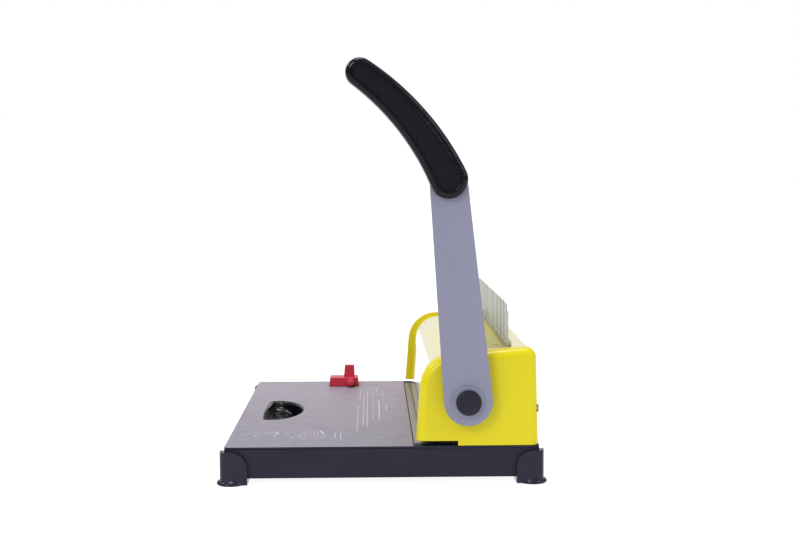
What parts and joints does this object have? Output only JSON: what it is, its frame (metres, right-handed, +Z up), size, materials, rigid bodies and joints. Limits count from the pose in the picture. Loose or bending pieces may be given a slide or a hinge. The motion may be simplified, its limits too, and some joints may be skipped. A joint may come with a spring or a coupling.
{
  "type": "comb binding machine",
  "caption": "Hand-operated machine that punches a row of slots in paper and opens a plastic comb spine to bind it: platform, paper guide, housed punches, comb stand and side pull handle.",
  "frame": {"origin": "on the table, under the middle of the whole machine's outline", "axes": "+X to the user's right, towards the handle; +Y away from the user; +Z up"},
  "size_m": [0.422, 0.3158, 0.4007],
  "materials": {
    "base_paint": "dark aubergine-black semi-gloss powder coat",
    "platform_paint": "satin grey-mauve printed steel sheet",
    "cup_plastic": "glossy black moulded plastic",
    "foot_plastic": "dark grey moulded rubber, satin",
    "guide_plastic": "red moulded plastic",
    "housing_plastic": "yellow moulded plastic, fine spark texture",
    "arm_paint": "blue-grey satin powder coat",
    "grip_plastic": "black moulded plastic with a leather-grain panel",
    "screw_cap": "black cap, satin",
    "tine_steel": "bright rolled steel sheet",
    "frame_steel": "plain cut steel",
    "tool_steel": "hardened tool steel with an oily olive-grey surface",
    "zinc_steel": "zinc-plated fasteners",
    "spring_steel": "music wire",
    "bush_bronze": "sintered bronze"
  },
  "bodies": {
    "base": {"base_tray": "base_paint", "platform_plate": "platform_paint", "handhold_cup": "cup_plastic", "rear_deck": "base_paint", "foot_front_right": "foot_plastic", "foot_screw_front_right": "zinc_steel", "foot_rear_right": "foot_plastic", "foot_screw_rear_right": "zinc_steel", "foot_rear_left": "foot_plastic", "foot_screw_rear_left": "zinc_steel", "foot_front_left": "foot_plastic", "foot_screw_front_left": "zinc_steel", "drawer_rail_front": "zinc_steel", "drawer_rail_rear": "zinc_steel", "centre_cover": "housing_plastic", "end_cap_right": "housing_plastic", "cap_screw_right": "zinc_steel", "cover_screw_right": "zinc_steel", "side_frame_right": "frame_steel", "frame_bolt_right_1": "zinc_steel", "frame_bolt_right_2": "zinc_steel", "shaft_bush_right": "bush_bronze", "opener_rail_right": "zinc_steel", "punch_return_spring_right": "spring_steel", "end_cap_left": "housing_plastic", "cap_screw_left": "zinc_steel", "cover_screw_left": "zinc_steel", "side_frame_left": "frame_steel", "frame_bolt_left_1": "zinc_steel", "frame_bolt_left_2": "zinc_steel", "shaft_bush_left": "bush_bronze", "opener_rail_left": "zinc_steel", "punch_return_spring_left": "spring_steel", "die_plate": "tool_steel", "punch_guide_plate": "tool_steel", "paper_stop_bar": "tool_steel", "lower_tie_rod": "zinc_steel", "tine_bar": "frame_steel", "tine_plate": "tine_steel"},
    "handle": {"drive_shaft": "frame_steel", "shaft_clip": "spring_steel", "punch_pinion_right": "frame_steel", "punch_pinion_left": "frame_steel", "opener_pinion_right": "frame_steel", "opener_pinion_left": "frame_steel", "handle_arm": "arm_paint", "arm_collar": "zinc_steel", "pivot_washer": "zinc_steel", "pivot_screw": "screw_cap", "grip_outer_shell": "grip_plastic", "grip_inner_shell": "grip_plastic", "grip_screw_lower": "zinc_steel", "grip_screw_upper": "zinc_steel"},
    "punch": {"punch_bar": "tool_steel"},
    "opener": {"hook_carriage": "tine_steel"},
    "drawer": {"chip_drawer": "base_paint"},
    "guide": {"side_guide": "guide_plastic", "guide_clamp_plate": "zinc_steel"},
    "guide_knob": {"guide_lock_knob": "guide_plastic"}
  },
  "joints": [
    {"name": "handle_pivot", "type": "hinge", "parent": "base", "child": "handle", "pos_m": [-0.00805, 0.081, 0.0811], "axis": [1, 0, 0], "range_deg": [0, 70], "stiffness_Nm_per_rad": 0.9, "springref_deg": -34.38},
    {"name": "punch_slide", "type": "slide", "parent": "base", "child": "punch", "axis": [0, 0, 1], "range_m": [-0.012, 0], "deforming": ["punch_return_spring_right", "punch_return_spring_left"]},
    {"name": "opener_slide", "type": "slide", "parent": "base", "child": "opener", "axis": [0, 1, 0], "range_m": [-0.0205, 0]},
    {"name": "drawer_slide", "type": "slide", "parent": "base", "child": "drawer", "axis": [-1, 0, 0], "range_m": [0, 0.3]},
    {"name": "guide_slide", "type": "slide", "parent": "base", "child": "guide", "axis": [-1, 0, 0], "range_m": [0, 0.009]},
    {"name": "guide_lock_turn", "type": "hinge", "parent": "guide", "child": "guide_knob", "pos_m": [-0.16205, -0.035, 0.0422], "axis": [1, 0, 0], "range_deg": [0, 90]}
  ],
  "couplings": [
    {"joint": "punch_slide", "follows": "handle_pivot", "m_per_rad": -0.00975},
    {"joint": "opener_slide", "follows": "handle_pivot", "m_per_rad": -0.0165}
  ]
}
